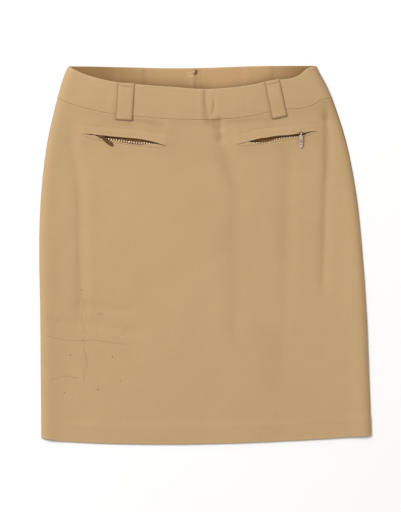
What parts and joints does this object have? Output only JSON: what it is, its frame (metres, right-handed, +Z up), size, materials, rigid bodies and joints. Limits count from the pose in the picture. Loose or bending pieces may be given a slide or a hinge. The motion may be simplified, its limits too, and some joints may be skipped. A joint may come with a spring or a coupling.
{
  "type": "pencil skirt, laid flat",
  "caption": "Plain twill skirt laid flat, front up, with a contoured waistband, belt loops, zipped slit pockets whose pull tabs hinge, and a centre-back zip seen from inside.",
  "frame": {"origin": "on the surface that the skirt lies on, under the middle of its box", "axes": "+Y towards the waist, +X towards the right side seam as seen from above the front, +Z up from the surface through the back and then the front"},
  "size_m": [0.4992, 0.5672, 0.0186],
  "materials": {
    "cloth": "matt cotton twill with a faint sheen",
    "pocketing": "matt plain weave",
    "zip_tape": "matt woven tape",
    "bright_metal": "polished nickel",
    "dark_metal": "dark antique nickel"
  },
  "bodies": {
    "skirt": {"front_panel": "cloth", "front_waistband": "cloth", "back_panel_left": "cloth", "back_panel_right": "cloth", "back_waistband_left": "cloth", "back_waistband_right": "cloth", "belt_loop_front_left": "cloth", "belt_loop_front_right": "cloth", "belt_loop_back_left": "cloth", "belt_loop_back_right": "cloth", "pocket_welt_left": "cloth", "pocket_welt_right": "cloth", "pocket_bag_left": "pocketing", "pocket_bag_right": "pocketing", "zip_row_lower_left": "zip_tape", "zip_row_lower_right": "zip_tape", "zip_row_upper_left": "zip_tape", "zip_row_upper_right": "zip_tape", "zip_slider_left": "dark_metal", "zip_slider_right": "dark_metal", "back_zip": "zip_tape", "back_zip_slider": "dark_metal"},
    "left_pull": {"zip_pull_left": "dark_metal"},
    "right_pull": {"zip_pull_right": "bright_metal"}
  },
  "joints": [
    {"name": "left_pull_hinge", "type": "hinge", "parent": "skirt", "child": "left_pull", "pos_m": [-0.15596, 0.17747, 0.01185], "axis": [-0.6332, -0.7672, -0.1024], "range_deg": [0, 160]},
    {"name": "right_pull_hinge", "type": "hinge", "parent": "skirt", "child": "right_pull", "pos_m": [0.14258, 0.18172, 0.01161], "axis": [-0.9996, -0.0063, 0.0282], "range_deg": [0, 160]}
  ]
}
